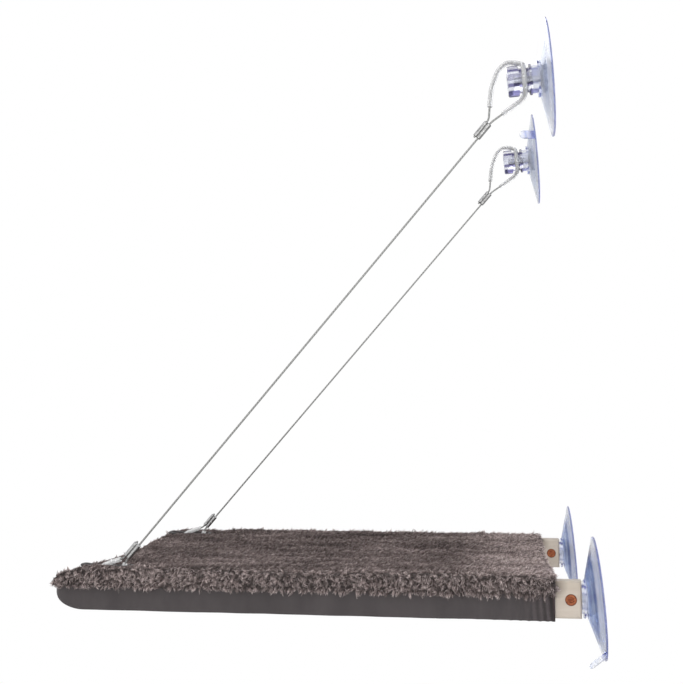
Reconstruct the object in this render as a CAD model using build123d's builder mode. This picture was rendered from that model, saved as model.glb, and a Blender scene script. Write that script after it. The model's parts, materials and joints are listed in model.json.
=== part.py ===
from build123d import *
import math
import os

# A window mounted cat perch: two wooden rails and two cross tubes carry a fabric cover
# with a plush top, two suction cups hold its rear end to the glass, and two steel cables
# hang its front end from two more cups above.
# The glass is the plane Y = 0, with the perch on its -Y side, X along it and Z up.
# The origin lies midway between the two lower cups.

# Layout on the window, in millimetres and degrees
cup_span = 345.0
cup_rise = 505.0
bed_slope = 4.5
neck_depth = 14.5

# Suction cups, with depths counted out from the glass
rim_radius = 57.5
rim_edge = 1.2
face_width = 7.5
hollow_depth = 3.0
cone_top_radius = 16.0
collar_radius = 18.0
collar_thickness = 1.8
boss_radius = 13.5
boss_depth = 17.0
boss_root_depth = 6.5
tab_width = 11.0
tab_length = 20.0
tab_thickness = 2.0
tab_inset = 1.6
tab_lift = 0.6
# The upper cups are drawn flatter on the glass than the lower ones, which bear the bed
cone_depths = {"upper": 10.0, "lower": 13.2}
# Where each cup's pull tab stands round its rim, and how far it leans outward, in degrees
tab_angles = {
    "upper_left": (20.0, 12.0),
    "upper_right": (168.0, 12.0),
    "lower_left": (-55.0, 33.0),
    "lower_right": (-55.0, 33.0),
}

# Moulded-in studs
stud_radius = 3.0
stud_head_radius = 8.0
stud_head_thickness = 2.0
stud_head_depth = 8.0
stud_overrun = 4.0
knob_stud_length = 18.0
thread_clearance = 0.1

# Cable knobs
knob_flange_radius = 15.0
knob_inner_flange = 3.0
knob_waist_radius = 12.0
knob_waist_length = 10.0
knob_outer_flange = 11.0
knob_rounding = 0.8
knob_recess_radius = 8.5
knob_recess_depth = 1.5

# Side rails
rail_length = 519.0
rail_height = 35.0
rail_thickness = 16.0
rail_edge_rounding = 1.5
# The blunt front end: how far it runs back below and above its tip, and how high the tip
# stands over the rails' middle, in shares of rail_height
nose_low_share = 0.86
nose_high_share = 1.0
nose_tip_share = 0.1

# Barrel nuts
nut_radius = 5.5
nut_inset = 10.0
nut_recess_radius = 2.9
nut_recess_depth = 2.5
nut_clearance = 0.1

# Cross tubes and what fastens them
tube_radius = 10.0
tube_wall = 1.5
front_tube_inset = 40.0
rear_tube_inset = 58.0
socket_depth = 8.0
socket_clearance = 0.1
plug_length = 20.0
plug_clearance = 0.05
bolt_radius = 2.5
bolt_head_radius = 5.0
bolt_head_thickness = 3.0
bolt_grip = 14.0
bolt_clearance = 0.3
hex_key_width = 4.0
hex_key_depth = 2.0

# Fabric cover, open below and at the rear
cloth_gap = 0.3
cloth_thickness = 1.5
cloth_rounding = 3.0
# The covers' front corners, seen from above, in shares of rail_thickness
cover_corner_share = 0.75
cover_setback = 25.0
sling_clearance = 0.8
hem_return = 30.0

# Plush cover, with its pile
plush_top = 2.2
plush_side = 4.5
plush_hem_drop = 12.5
plush_rounding = 6.0
plush_corner_radius = 22.0

# Slots in both covers for the lower cable loops
slot_width = 10.0
slot_front = 20.5
slot_rear = 29.0
slot_corner = 3.0

# Steel cables with their crimped ferrules and clear sleeves
rope_radius = 1.0
sleeve_radius = 2.5
sleeve_bore = 1.2
sleeve_clearance = 0.3
loop_inset = 20.0
barrel_pitch = 3.6
barrel_radius = 2.4
ferrule_length = 18.0
ferrule_rounding = 0.5
crimp_clearance = 0.05
tail_length = 1.5
lower_reach = 35.5
ferrule_gap = 3.0
upper_reach = 54.0
groove_exit = 9.0
sleeve_start = 3.5
sleeve_bare = 13.0
overrun = 1.0

# The share of a cord's run that the arc at one of its ends may take
arc_share = 0.45
# The same on the straight stretch beside the knob's groove, which has one arc
groove_run_share = 0.9
# The upper loop winds on the knob between these angles about its axis, in degrees
groove_start = -60.0
groove_end = 60.0
# The bow of the lower loop's front leg, along and across the cable, in shares of lower_reach
lower_bow_share = (0.38, 0.41)
# The bow of the upper loop from the knob back to its ferrule, in shares of upper_reach
bow_shares = [
    (-0.067, -0.288, 0.394),
    (-0.096, -0.442, 0.279),
    (-0.067, -0.600, -0.058),
]

sides = {"left": -1, "right": 1}
os.makedirs("parts", exist_ok=True)

# The bed's own frame: its origin is the bend of the lower necks and its X is the window's,
# its -Y runs to the front of the bed, which the slope lifts
slope = math.radians(bed_slope)
bed = Plane(
    origin=(0, -neck_depth, 0),
    x_dir=(1, 0, 0),
    z_dir=(0, math.sin(slope), math.cos(slope)),
)
rail_rear = neck_depth - boss_depth
rail_front = rail_rear - rail_length
rail_x = cup_span / 2
rail_inner_x = rail_x - rail_thickness / 2
rail_outer_x = rail_x + rail_thickness / 2
nose_low_depth = rail_height * nose_low_share
nose_high_depth = rail_height * nose_high_share
nose_tip = rail_height * nose_tip_share
front_tube_y = rail_front + front_tube_inset
rear_tube_y = rail_rear - rear_tube_inset
nut_y = rail_rear - nut_inset
cover_rear = rail_rear - cover_setback
# The covers sag between the rails until they nearly lie on the cross tubes
cover_sag = rail_height / 2 + cloth_gap - tube_radius - sling_clearance
groove_depth = boss_depth + knob_inner_flange + knob_waist_length / 2
loop_x = rail_x - loop_inset


def bed_side(x):
    """A plane along the bed and upright, at x across it, facing +X."""
    origin = bed.from_local_coords((x, 0, 0))
    return Plane(origin, x_dir=bed.y_dir, z_dir=bed.x_dir)


def bed_section(y):
    """A plane square to the bed's length, at y along it, facing its front."""
    origin = bed.from_local_coords((0, y, 0))
    return Plane(origin, x_dir=bed.x_dir, z_dir=-bed.y_dir)


def side_outline(x, grow_top, grow_side, floor, rear):
    """The frame's side view at x across it, grown outward, with its blunt front end."""
    top = rail_height / 2 + grow_top
    front = rail_front - grow_side
    low_depth = nose_low_depth + grow_side
    high_depth = nose_high_depth + grow_side
    with BuildSketch(bed_side(x)) as outline:
        with BuildLine():
            Polyline(
                (front + high_depth, top),
                (rear, top),
                (rear, floor),
                (front + low_depth, floor),
            )
            EllipticalCenterArc(
                (front + low_depth, nose_tip),
                low_depth,
                nose_tip - floor,
                start_angle=180,
                arc_size=90,
            )
            EllipticalCenterArc(
                (front + high_depth, nose_tip),
                high_depth,
                top - nose_tip,
                start_angle=90,
                arc_size=90,
            )
        make_face()
    return outline.sketch


def turned(origin, outward):
    """A plane for turned pieces: its Y is the axis, outward, and its X the radius."""
    return Plane(origin, x_dir=(1, 0, 0), z_dir=Vector(1, 0, 0).cross(outward))


def write(piece, name):
    """Labels a finished piece and writes it to its own file."""
    piece.part.label = name
    export_step(piece.part, f"parts/{name}.step")


# The four suction cups, each with its moulded-in stud.
# A lower cup's neck is bent to the bed's slope, an upper cup's stands square to the glass.
def cup_place(height, sign):
    """The middle of a cup's face on the glass."""
    return Vector(sign * cup_span / 2, 0, cup_rise if height == "upper" else 0)


def neck_plane(height, sign):
    """The turning plane of a cup's neck, whose Y counts from the glass along its axis."""
    outward = Vector(0, -1, 0) if height == "upper" else -bed.y_dir
    bend = cup_place(height, sign) + Vector(0, -neck_depth, 0)
    return turned(bend - outward * neck_depth, outward)


def stud_length(height):
    """How far a stud stands out of its boss."""
    return knob_stud_length if height == "upper" else nut_inset + nut_radius + stud_overrun


for height in ("upper", "lower"):
    for side, sign in sides.items():
        place = cup_place(height, sign)
        neck = neck_plane(height, sign)
        cone_depth = cone_depths[height]
        with BuildPart() as stud:
            with BuildSketch(neck):
                with BuildLine():
                    Polyline(
                        (0, stud_head_depth),
                        (stud_head_radius, stud_head_depth),
                        (stud_head_radius, stud_head_depth + stud_head_thickness),
                        (stud_radius, stud_head_depth + stud_head_thickness),
                        (stud_radius, boss_depth + stud_length(height)),
                        (0, boss_depth + stud_length(height)),
                        close=True,
                    )
                make_face()
            revolve(axis=Axis(neck.origin, neck.y_dir))
        write(stud, f"{height}_stud_{side}")

        with BuildPart() as cup:
            # The cone, with a flat ring on the glass round a shallow hollow
            face = turned(place, Vector(0, -1, 0))
            with BuildSketch(face):
                with BuildLine():
                    Line((rim_radius - face_width, 0), (rim_radius, 0))
                    Line((rim_radius, 0), (rim_radius, rim_edge))
                    Line((rim_radius, rim_edge), (cone_top_radius, cone_depth))
                    Line((cone_top_radius, cone_depth), (0, cone_depth))
                    Line((0, cone_depth), (0, hollow_depth))
                    TangentArc(
                        (0, hollow_depth), (rim_radius - face_width, 0), tangent=(1, 0)
                    )
                make_face()
            revolve(axis=Axis(face.origin, face.y_dir))
            # The collar and the boss
            with BuildSketch(neck):
                with BuildLine():
                    Polyline(
                        (0, boss_root_depth),
                        (boss_radius, boss_root_depth),
                        (boss_radius, cone_depth),
                        (collar_radius, cone_depth),
                        (collar_radius, cone_depth + collar_thickness),
                        (boss_radius, cone_depth + collar_thickness),
                        (boss_radius, boss_depth),
                        (0, boss_depth),
                        close=True,
                    )
                make_face()
            revolve(axis=Axis(neck.origin, neck.y_dir))
            # The pull tab, a tongue on the rim that leans away from the cup's axis
            angle, lean = map(math.radians, tab_angles[f"{height}_{side}"])
            radial = Vector(math.cos(angle), 0, math.sin(angle))
            along = Vector(0, -math.cos(lean), 0) + radial * math.sin(lean)
            root = place + radial * (rim_radius - tab_inset) + Vector(0, -tab_lift, 0)
            tongue = Plane(root, x_dir=along, z_dir=along.cross(Vector(0, 1, 0).cross(radial)))
            with BuildSketch(tongue):
                with Locations(((tab_length - tab_width / 2) / 2, 0)):
                    Rectangle(tab_length - tab_width / 2, tab_width)
                with Locations((tab_length - tab_width / 2, 0)):
                    Circle(tab_width / 2)
            extrude(amount=tab_thickness / 2, both=True)
            add(stud.part, mode=Mode.SUBTRACT)
        write(cup, f"{height}_cup_{side}")

# The knobs, turned spools on the upper studs whose waists hold the cable loops
for side, sign in sides.items():
    neck = neck_plane("upper", sign)
    waist_low = boss_depth + knob_inner_flange
    waist_high = waist_low + knob_waist_length
    knob_end = waist_high + knob_outer_flange
    with BuildPart() as knob:
        with BuildSketch(neck) as half:
            with BuildLine():
                Polyline(
                    (0, boss_depth),
                    (knob_flange_radius, boss_depth),
                    (knob_flange_radius, waist_low),
                    (knob_waist_radius, waist_low),
                    (knob_waist_radius, waist_high),
                    (knob_flange_radius, waist_high),
                    (knob_flange_radius, knob_end),
                    (knob_recess_radius, knob_end),
                    (knob_recess_radius, knob_end - knob_recess_depth),
                    (0, knob_end - knob_recess_depth),
                    close=True,
                )
            make_face()
            corners = half.vertices().filter_by(lambda v: v.X > knob_waist_radius)
            fillet(corners, knob_rounding)
        revolve(axis=Axis(neck.origin, neck.y_dir))
        with BuildSketch(Plane(neck.origin + neck.y_dir * boss_depth, z_dir=neck.y_dir)):
            Circle(stud_radius + thread_clearance)
        extrude(amount=knob_stud_length + thread_clearance, mode=Mode.SUBTRACT)
    write(knob, f"cable_knob_{side}")

# The side rails, with a bore for the cup's stud, a cross hole for the barrel nut,
# sockets for the tubes and sunk holes for their bolts
for side, sign in sides.items():
    with BuildPart() as rail:
        profile = side_outline(sign * rail_x, 0, 0, -rail_height / 2, rail_rear)
        extrude(profile, amount=rail_thickness / 2, both=True)
        chamfer(rail.faces().sort_by(Axis.X)[0].edges(), rail_edge_rounding)
        chamfer(rail.faces().sort_by(Axis.X)[-1].edges(), rail_edge_rounding)
        # The outer front corner, rounded as seen from above
        with BuildSketch(bed) as plan:
            with Locations((sign * rail_x, (rail_rear + rail_front) / 2)):
                Rectangle(rail_thickness + 2 * overrun, rail_length + 2 * overrun)
            front_ends = plan.vertices().group_by(Axis.Y)[0]
            fillet(max(front_ends, key=lambda v: sign * v.X), rail_thickness)
        extrude(amount=rail_height, both=True, mode=Mode.INTERSECT)
        with BuildSketch(bed_section(rail_rear)):
            with Locations((sign * rail_x, 0)):
                Circle(stud_radius + thread_clearance)
        extrude(amount=stud_length("lower") + overrun, mode=Mode.SUBTRACT)
        with BuildSketch(bed_side(sign * rail_x)):
            with Locations((nut_y, 0)):
                Circle(nut_radius + nut_clearance)
        extrude(amount=rail_thickness, both=True, mode=Mode.SUBTRACT)
        with BuildSketch(bed_side(sign * rail_inner_x)):
            with Locations((front_tube_y, 0), (rear_tube_y, 0)):
                Circle(tube_radius + socket_clearance)
        extrude(amount=sign * socket_depth, mode=Mode.SUBTRACT)
        with BuildSketch(bed_side(sign * rail_outer_x)):
            with Locations((front_tube_y, 0), (rear_tube_y, 0)):
                Circle(bolt_head_radius + bolt_clearance)
        extrude(amount=-sign * bolt_head_thickness, mode=Mode.SUBTRACT)
        with BuildSketch(bed_side(sign * rail_x)):
            with Locations((front_tube_y, 0), (rear_tube_y, 0)):
                Circle(bolt_radius + bolt_clearance)
        extrude(amount=rail_thickness, both=True, mode=Mode.SUBTRACT)
    write(rail, f"side_rail_{side}")

    with BuildPart() as nut:
        with BuildSketch(bed_side(sign * rail_x)):
            with Locations((nut_y, 0)):
                Circle(nut_radius)
        extrude(amount=rail_thickness / 2, both=True)
        with BuildSketch(bed_section(rail_rear)):
            with Locations((sign * rail_x, 0)):
                Circle(stud_radius + thread_clearance)
        extrude(amount=nut_inset + nut_radius + overrun, mode=Mode.SUBTRACT)
        with BuildSketch(bed_side(sign * rail_outer_x)):
            with Locations((nut_y, 0)):
                Circle(nut_recess_radius)
        extrude(amount=-sign * nut_recess_depth, mode=Mode.SUBTRACT)
    write(nut, f"barrel_nut_{side}")

# The cross tubes, seated in the rails' sockets
tube_half = rail_inner_x + socket_depth
for name, tube_y in {"front_tube": front_tube_y, "rear_tube": rear_tube_y}.items():
    with BuildPart() as tube:
        with BuildSketch(bed_side(0)):
            with Locations((tube_y, 0)):
                Circle(tube_radius)
                Circle(tube_radius - tube_wall, mode=Mode.SUBTRACT)
        extrude(amount=tube_half, both=True)
    write(tube, name)

# The threaded plugs in the tubes' ends, and the bolts that draw the rails onto them
plug_radius = tube_radius - tube_wall - plug_clearance
bolt_seat_x = rail_outer_x - bolt_head_thickness
with BuildPart() as plugs:
    for sign in sides.values():
        with BuildSketch(bed_side(sign * tube_half)):
            with Locations((front_tube_y, 0), (rear_tube_y, 0)):
                Circle(plug_radius)
                Circle(bolt_radius + thread_clearance, mode=Mode.SUBTRACT)
        extrude(amount=-sign * plug_length)
write(plugs, "tube_plugs")

with BuildPart() as bolts:
    for sign in sides.values():
        with BuildSketch(bed_side(sign * bolt_seat_x)):
            with Locations((front_tube_y, 0), (rear_tube_y, 0)):
                Circle(bolt_head_radius)
        extrude(amount=sign * bolt_head_thickness)
        with BuildSketch(bed_side(sign * bolt_seat_x)):
            with Locations((front_tube_y, 0), (rear_tube_y, 0)):
                Circle(bolt_radius)
        extrude(amount=-sign * bolt_grip)
        with BuildSketch(bed_side(sign * rail_outer_x)):
            with Locations((front_tube_y, 0), (rear_tube_y, 0)):
                RegularPolygon(hex_key_width / 2, 6, major_radius=False)
        extrude(amount=-sign * hex_key_depth, mode=Mode.SUBTRACT)
write(bolts, "frame_bolts")


# The covers. Both follow the frame's outline, grown outward.
def wrap(grow_top, grow_side, floor, rounding, corner, rear):
    """A block over the frame: sagging on top, and blunt at its front end."""
    half_width = rail_outer_x + grow_side
    top = rail_height / 2 + grow_top
    front = rail_front - grow_side
    with BuildPart() as block:
        with BuildSketch(bed_section(rear)) as section:
            with BuildLine():
                Polyline(
                    (-rail_inner_x, top),
                    (-half_width, top),
                    (-half_width, floor),
                    (half_width, floor),
                    (half_width, top),
                    (rail_inner_x, top),
                )
                ThreePointArc((rail_inner_x, top), (0, top - cover_sag), (-rail_inner_x, top))
            make_face()
            shoulders = section.vertices().filter_by(lambda v: abs(v.X) > rail_outer_x)
            fillet(shoulders.group_by(Axis.Y)[-1], rounding)
        extrude(amount=rear - front + overrun)
        outline = side_outline(0, grow_top, grow_side, floor, rear)
        extrude(outline, amount=half_width + overrun, both=True, mode=Mode.INTERSECT)
        with BuildSketch(bed) as plan:
            with Locations((0, (rear + front) / 2)):
                Rectangle(2 * half_width, rear - front)
            fillet(plan.vertices().group_by(Axis.Y)[0], corner)
        extrude(amount=rail_height, both=True, mode=Mode.INTERSECT)
    return block.part


# The slots that let the lower cable loops through both covers
slot_y = front_tube_y + (slot_rear - slot_front) / 2
with BuildPart() as slots:
    with BuildSketch(bed):
        with Locations(*[(sign * loop_x, slot_y) for sign in sides.values()]):
            RectangleRounded(slot_width, slot_front + slot_rear, slot_corner)
    extrude(amount=rail_height)

cloth_out = cloth_gap + cloth_thickness
cover_corner = rail_thickness * cover_corner_share
cover_floor = -rail_height / 2 - cloth_out
inner_rear = cover_rear + overrun
with BuildPart() as base_cover:
    add(
        wrap(
            cloth_out,
            cloth_out,
            cover_floor,
            cloth_rounding,
            cover_corner + cloth_thickness,
            cover_rear,
        )
    )
    inner = wrap(
        cloth_gap,
        cloth_gap,
        -rail_height / 2 - cloth_gap,
        cloth_rounding - cloth_thickness,
        cover_corner,
        inner_rear,
    )
    add(inner, mode=Mode.SUBTRACT)
    window_front = rail_front + hem_return
    window_half = rail_outer_x - hem_return
    with BuildSketch(bed.offset(cover_floor)):
        with Locations((0, (window_front + inner_rear) / 2)):
            Rectangle(2 * window_half, inner_rear - window_front)
    extrude(amount=rail_height / 2, both=True, mode=Mode.SUBTRACT)
    add(slots.part, mode=Mode.SUBTRACT)
write(base_cover, "base_cover")

plush_in = cloth_out + cloth_gap
plush_floor = rail_height / 2 - plush_hem_drop
with BuildPart() as plush_cover:
    add(
        wrap(
            plush_in + plush_top,
            plush_in + plush_side,
            cover_floor,
            plush_rounding,
            plush_corner_radius,
            cover_rear,
        )
    )
    # The hem, below which only the cloth shows
    with BuildSketch(bed.offset(plush_floor)):
        with Locations((0, (rail_front + rail_rear) / 2)):
            Rectangle(2 * cup_span, 2 * rail_length)
    extrude(amount=-rail_height, mode=Mode.SUBTRACT)
    under = wrap(
        plush_in,
        plush_in,
        -rail_height / 2 - plush_in,
        cloth_rounding + cloth_gap,
        cover_corner + cloth_thickness + cloth_gap,
        inner_rear,
    )
    add(under, mode=Mode.SUBTRACT)
    add(slots.part, mode=Mode.SUBTRACT)
write(plush_cover, "plush_cover")


# The cables
def arc_radius(before, corner, after, reach):
    """The radius of an arc at a corner that takes up the reach of both runs."""
    turn = (corner - before).get_angle(after - corner)
    return reach / math.tan(math.radians(turn) / 2)


def corner_reaches(points):
    """How far each inner corner's arc may reach along its two runs."""
    lengths = [(b - a).length for a, b in zip(points, points[1:])]
    return [arc_share * min(pair) for pair in zip(lengths, lengths[1:])]


def corner_radii(points, reaches):
    """A radius for each inner corner of a route."""
    corners = zip(points, points[1:], points[2:], reaches)
    return [arc_radius(*corner) for corner in corners]


def start_of(path):
    """The plane square to a path at its start."""
    return Plane(path.wire() @ 0, z_dir=path.wire() % 0)


for side, sign in sides.items():
    # The cable's own plane: its X runs from the front tube up to the knob's waist
    foot = bed.from_local_coords((sign * loop_x, front_tube_y, 0))
    waist = Vector(sign * cup_span / 2, -groove_depth, cup_rise)
    up = (waist - foot).normalized()
    run = Plane(foot, x_dir=up, z_dir=Vector(1, 0, 0) - up * up.X)
    cable_length = (waist - foot).length

    def at(along, across):
        """A point of the cable's plane; across is towards the front and up."""
        return run.from_local_coords(Vector(along, across, 0))

    def on_tube(lean):
        """A point of the circle that the lower loop makes round the tube."""
        return at(wrap_radius * math.cos(lean), wrap_radius * math.sin(lean))

    def tangent_lean(along, across):
        """Where a line from this point touches that circle, on the side it lies to."""
        reach = math.hypot(along, across)
        return math.atan(abs(across) / along) + math.acos(wrap_radius / reach)

    # The lower loop: a taut rear leg, an arc round the tube, and a front leg with a bow
    wrap_radius = tube_radius + sleeve_clearance + sleeve_radius
    half_pitch = barrel_pitch / 2
    bow_along, bow_across = [share * lower_reach for share in lower_bow_share]
    front_tangent = on_tube(tangent_lean(bow_along, bow_across))
    rear_tangent = on_tube(-tangent_lean(lower_reach, half_pitch))
    front_bow = at(bow_along, bow_across)
    front_corner = at(lower_reach, half_pitch)
    rear_corner = at(lower_reach, -half_pitch)
    under_tube = at(-wrap_radius, 0)
    low_ferrule = lower_reach + ferrule_gap
    low_tail = at(low_ferrule + ferrule_length + tail_length, half_pitch)

    # The upper loop: up under the knob, round its near side, and back over it in a bow
    groove_radius = knob_waist_radius + sleeve_clearance + sleeve_radius
    high_ferrule = cable_length - upper_reach - ferrule_length

    def on_groove(degrees, beyond):
        """A point on the groove's circle, or beyond it along the tangent there."""
        turn = math.radians(degrees)
        radial = Vector(math.cos(turn), 0, math.sin(turn))
        tangent = Vector(-math.sin(turn), 0, math.cos(turn))
        return waist + radial * groove_radius + tangent * beyond

    leg_corner = at(cable_length - upper_reach + ferrule_gap, -half_pitch)
    bow_corner = at(cable_length - upper_reach + ferrule_gap, half_pitch)
    high_tail = at(high_ferrule - tail_length, half_pitch)
    groove_in = on_groove(groove_start, 0)
    groove_out = on_groove(groove_end, 0)
    under_knob = on_groove(groove_start, -groove_exit)
    over_knob = on_groove(groove_end, groove_exit)
    bow = [waist + Vector(*share) * upper_reach for share in bow_shares]

    up_points = [rear_tangent, rear_corner, leg_corner, under_knob, groove_in]
    back_points = [groove_out, over_knob, *bow, bow_corner, high_tail]
    groove_reach = groove_run_share * groove_exit
    up_radii = corner_radii(up_points, [ferrule_gap, ferrule_gap, groove_reach])
    back_reaches = corner_reaches(back_points)
    back_reaches[0] = groove_reach
    back_reaches[-1] = ferrule_gap
    back_radii = corner_radii(back_points, back_reaches)
    leg_points = [low_tail, front_corner, front_bow, front_tangent]
    leg_radii = corner_radii(leg_points, [ferrule_gap, corner_reaches(leg_points)[-1]])
    radii = [*leg_radii, wrap_radius, *up_radii, groove_radius, *back_radii]
    print(side, "cable arcs", [round(radius, 1) for radius in radii])

    with BuildPart() as cable:
        with BuildLine() as path:
            FilletPolyline(*leg_points, radius=leg_radii)
            ThreePointArc(front_tangent, under_tube, rear_tangent)
            FilletPolyline(*up_points, radius=up_radii)
            ThreePointArc(groove_in, on_groove(0, 0), groove_out)
            FilletPolyline(*back_points, radius=back_radii)
        with BuildSketch(start_of(path)):
            Circle(rope_radius)
        sweep(path=path.wire())
    length = path.wire().length
    solid_length = cable.part.volume / (math.pi * rope_radius**2)
    print(side, "cable length", round(length, 2), "by volume", round(solid_length, 2))
    write(cable, f"cable_{side}")

    with BuildPart() as lower_sleeve:
        with BuildLine() as path:
            front_leg = (front_corner - front_bow).normalized()
            rear_leg = (rear_corner - rear_tangent).normalized()
            FilletPolyline(
                front_corner - front_leg * sleeve_start,
                front_bow,
                front_tangent,
                radius=leg_radii[-1],
            )
            ThreePointArc(front_tangent, under_tube, rear_tangent)
            Line(rear_tangent, rear_corner - rear_leg * sleeve_start)
        with BuildSketch(start_of(path)):
            Circle(sleeve_radius)
            Circle(sleeve_bore, mode=Mode.SUBTRACT)
        sweep(path=path.wire())
    write(lower_sleeve, f"lower_sleeve_{side}")

    with BuildPart() as upper_sleeve:
        leg = (under_knob - leg_corner).normalized()
        last = (bow[-1] - bow_corner).normalized()
        with BuildLine() as path:
            FilletPolyline(
                leg_corner + leg * sleeve_bare, under_knob, groove_in, radius=up_radii[-1]
            )
            ThreePointArc(groove_in, on_groove(0, 0), groove_out)
            FilletPolyline(
                *back_points[:-2], bow_corner + last * sleeve_bare, radius=back_radii[:-1]
            )
        with BuildSketch(start_of(path)):
            Circle(sleeve_radius)
            Circle(sleeve_bore, mode=Mode.SUBTRACT)
        sweep(path=path.wire())
    write(upper_sleeve, f"upper_sleeve_{side}")

    # A ferrule: two barrels side by side, crimped on the cable and its tail
    for name, start in {"lower": low_ferrule, "upper": high_ferrule}.items():
        with BuildPart() as ferrule:
            end = Plane(at(start, 0), x_dir=run.y_dir, z_dir=run.x_dir)
            with BuildSketch(end):
                with Locations((-half_pitch, 0), (half_pitch, 0)):
                    Circle(barrel_radius)
                Rectangle(barrel_pitch, barrel_radius)
            extrude(amount=ferrule_length)
            ends = ferrule.faces().sort_by(Axis(at(start, 0), run.x_dir))
            chamfer(ends[0].edges() + ends[-1].edges(), ferrule_rounding)
            with BuildSketch(end):
                with Locations((-half_pitch, 0), (half_pitch, 0)):
                    Circle(rope_radius + crimp_clearance)
            extrude(amount=ferrule_length, mode=Mode.SUBTRACT)
        write(ferrule, f"{name}_ferrule_{side}")
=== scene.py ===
import json
import math

import bmesh
import bpy
import numpy as np
from mathutils import Euler, Matrix, Vector


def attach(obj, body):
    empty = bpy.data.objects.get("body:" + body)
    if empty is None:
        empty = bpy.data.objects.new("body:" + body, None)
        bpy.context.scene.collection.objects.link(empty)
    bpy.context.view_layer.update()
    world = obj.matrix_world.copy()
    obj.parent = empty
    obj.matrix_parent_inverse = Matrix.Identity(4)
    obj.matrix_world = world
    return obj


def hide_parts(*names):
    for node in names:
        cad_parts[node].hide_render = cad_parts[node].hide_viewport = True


# The window mounted cat perch, dressed. Lengths are metres in the CAD frame.
# "Bed" coordinates are those of the sloping bed: x along the window, y towards it, z up from the
# rails' middle.
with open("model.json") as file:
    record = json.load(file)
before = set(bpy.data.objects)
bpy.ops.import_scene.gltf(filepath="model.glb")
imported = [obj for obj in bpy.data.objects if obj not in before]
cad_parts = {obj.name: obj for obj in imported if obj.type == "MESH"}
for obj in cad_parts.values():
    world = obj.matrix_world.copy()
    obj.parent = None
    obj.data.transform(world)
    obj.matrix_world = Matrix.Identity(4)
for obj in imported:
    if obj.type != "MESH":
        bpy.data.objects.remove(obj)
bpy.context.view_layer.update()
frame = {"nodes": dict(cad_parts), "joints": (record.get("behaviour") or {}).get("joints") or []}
nodes = frame["nodes"]
scene = bpy.context.scene
scene.view_settings.view_transform = "Standard"

# The CAD's places and sizes, for the pieces that follow them
pivots = {joint["name"]: joint["pos_m"] for joint in frame["joints"]}
CUP_X, _, CUP_RISE = pivots["top_cup_right_turn"]
SLOPE = math.radians(4.5)
NECK = 0.0145
CUP_RADIUS, COLLAR_RADIUS = 0.0575, 0.018
COLLAR_SHARE, COLLAR_DEPTH, TAB_REACH, BETWEEN_PAIRS = 0.33, 0.0098, 0.0805, 0.25
KNOB_RADIUS = 0.015
NUT_Y, NUT_RADIUS = -0.0125, 0.006
LOOP_FOOT = (0.1525, -0.4945, 0.0378)
LOOP_HEAD = (CUP_X, -0.025, CUP_RISE)
BED_AXES = np.array(
    [[1, 0, 0], [0, math.cos(SLOPE), -math.sin(SLOPE)], [0, math.sin(SLOPE), math.cos(SLOPE)]]
)
BED_ORIGIN = np.array([0, -NECK, 0])


def to_bed(points):
    return (points - BED_ORIGIN) @ BED_AXES.T


def from_bed(points):
    return points @ BED_AXES + BED_ORIGIN


# Numbers

def ease(t):
    """0 below 0, 1 above 1, and a smooth step between."""
    t = np.clip(t, 0, 1)
    return t * t * (3 - 2 * t)


def unit(v):
    return v / np.maximum(np.linalg.norm(v, axis=-1, keepdims=True), 1e-12)


def waves(points, size, seed, count=14):
    """Smooth noise of about -1 to 1, whose lumps are about size across."""
    rng = np.random.default_rng(seed)
    k = unit(rng.normal(size=(count, 3))) * (2 * np.pi / size) * rng.uniform(0.45, 1.3, (count, 1))
    phase = rng.uniform(0, 2 * np.pi, count)
    return np.sin(points @ k.T + phase).sum(1) / math.sqrt(2 * count) * 0.9


SLACK_DEPTH, SLACK_HALF, SLACK_REAR, SLACK_RUN = 0.0056, 0.162, -0.4925, 0.022
SLACK_LOW, SLACK_RISE = -0.012, 0.016


def slack(q):
    """How far both covers hang between the rails in front of the front tube, at bed points."""
    between = np.clip(1 - (q[:, 0] / SLACK_HALF) ** 4, 0, 1)
    hang = SLACK_DEPTH * between * ease((SLACK_REAR - q[:, 1]) / SLACK_RUN)
    return hang * ease((q[:, 2] - SLACK_LOW) / SLACK_RISE)


# Mesh helpers

def coords(mesh):
    co = np.zeros(len(mesh.vertices) * 3, np.float32)
    mesh.vertices.foreach_get("co", co)
    return co.reshape(-1, 3).astype(float)


def set_coords(mesh, points):
    mesh.vertices.foreach_set("co", points.astype(np.float32).ravel())
    mesh.update()


def new_object(name, mesh):
    o = bpy.data.objects.new(name, mesh)
    scene.collection.objects.link(o)
    return o


def welded_copy(node, name):
    """A free copy of a CAD node's mesh, in its place, its corners welded."""
    bm = bmesh.new()
    bm.from_mesh(nodes[node].data)
    bmesh.ops.remove_doubles(bm, verts=bm.verts, dist=2e-6)
    mesh = bpy.data.meshes.new(name)
    bm.to_mesh(mesh)
    bm.free()
    return new_object(name, mesh)


def triangles(mesh):
    mesh.calc_loop_triangles()
    t = np.zeros(len(mesh.loop_triangles) * 3, np.int32)
    mesh.loop_triangles.foreach_get("vertices", t)
    return t.reshape(-1, 3)


def vertex_normals(mesh):
    n = np.zeros(len(mesh.vertices) * 3, np.float32)
    mesh.vertices.foreach_get("normal", n)
    return n.reshape(-1, 3).astype(float)


def smooth_shade(mesh):
    mesh.polygons.foreach_set("use_smooth", np.ones(len(mesh.polygons), bool))


# Material nodes

def node(tree, kind, sockets=None, **settings):
    n = tree.nodes.new("ShaderNode" + kind)
    for key, value in settings.items():
        setattr(n, key, value)
    for key, value in (sockets or {}).items():
        if isinstance(value, bpy.types.NodeSocket):
            tree.links.new(value, n.inputs[key])
        else:
            n.inputs[key].default_value = value
    return n


def new_material(name, **sockets):
    m = bpy.data.materials.new(name)
    m.use_nodes = True
    shader = m.node_tree.nodes["Principled BSDF"]
    for key, value in sockets.items():
        shader.inputs[key.replace("_", " ")].default_value = value
    return m, m.node_tree, shader


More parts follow.
